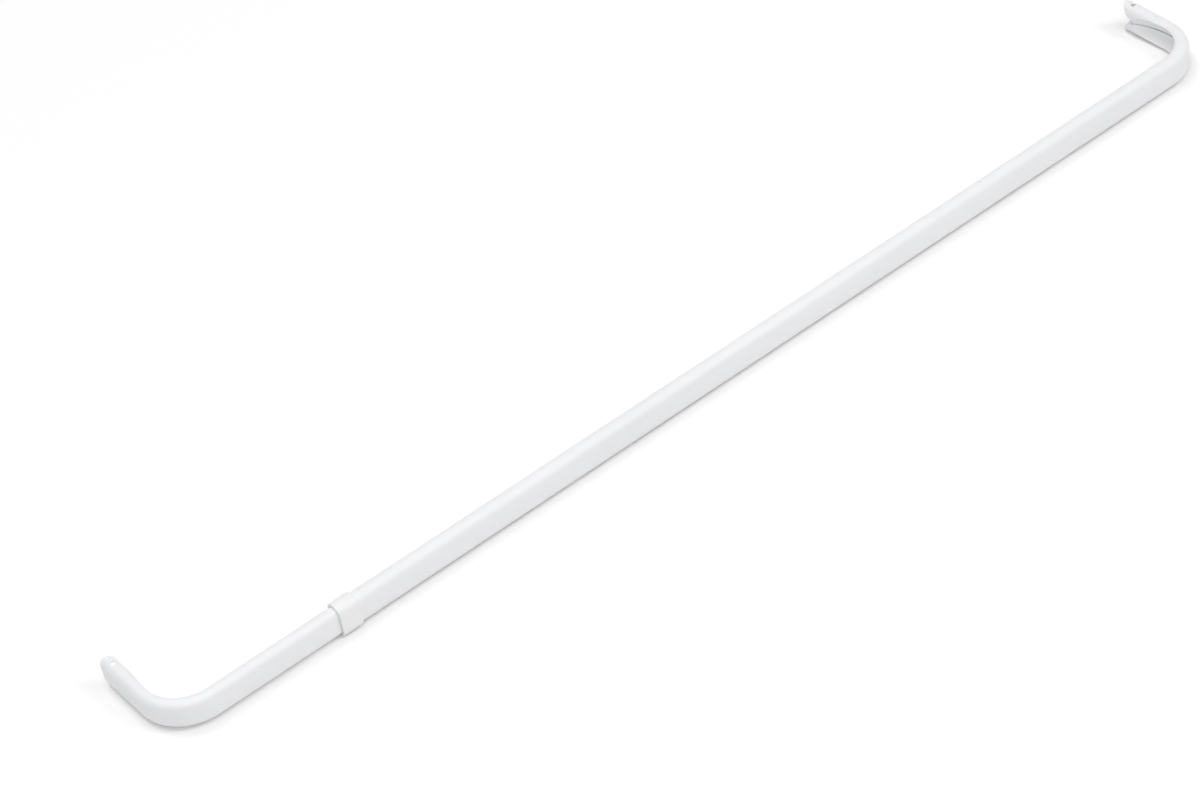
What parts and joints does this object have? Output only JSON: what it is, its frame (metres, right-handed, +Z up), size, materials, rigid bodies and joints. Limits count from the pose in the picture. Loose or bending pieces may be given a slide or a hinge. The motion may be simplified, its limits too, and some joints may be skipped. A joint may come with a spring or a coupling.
{
  "type": "extendable curtain rod",
  "caption": "White flat-oval steel curtain rod of two nested sections that slide to fit a window, each with a bent return, pierced ears and an open channel end for a wall bracket.",
  "frame": {"origin": "middle of the rod's bounding box, on the surface that it lies on", "axes": "+X along the rod from the inner section's return to the outer section's return, +Y from the front face to the wall, +Z up as hung"},
  "size_m": [0.711, 0.0634, 0.0198],
  "materials": {
    "white_paint": "semi-gloss white enamel on rolled steel",
    "white_plastic": "satin white moulding"
  },
  "bodies": {
    "outer": {"outer_rod": "white_paint", "collar": "white_plastic"},
    "inner": {"inner_rod": "white_paint"}
  },
  "joints": [
    {"name": "extension", "type": "slide", "parent": "outer", "child": "inner", "axis": [-1, 0, 0], "range_m": [0, 0.508]}
  ]
}
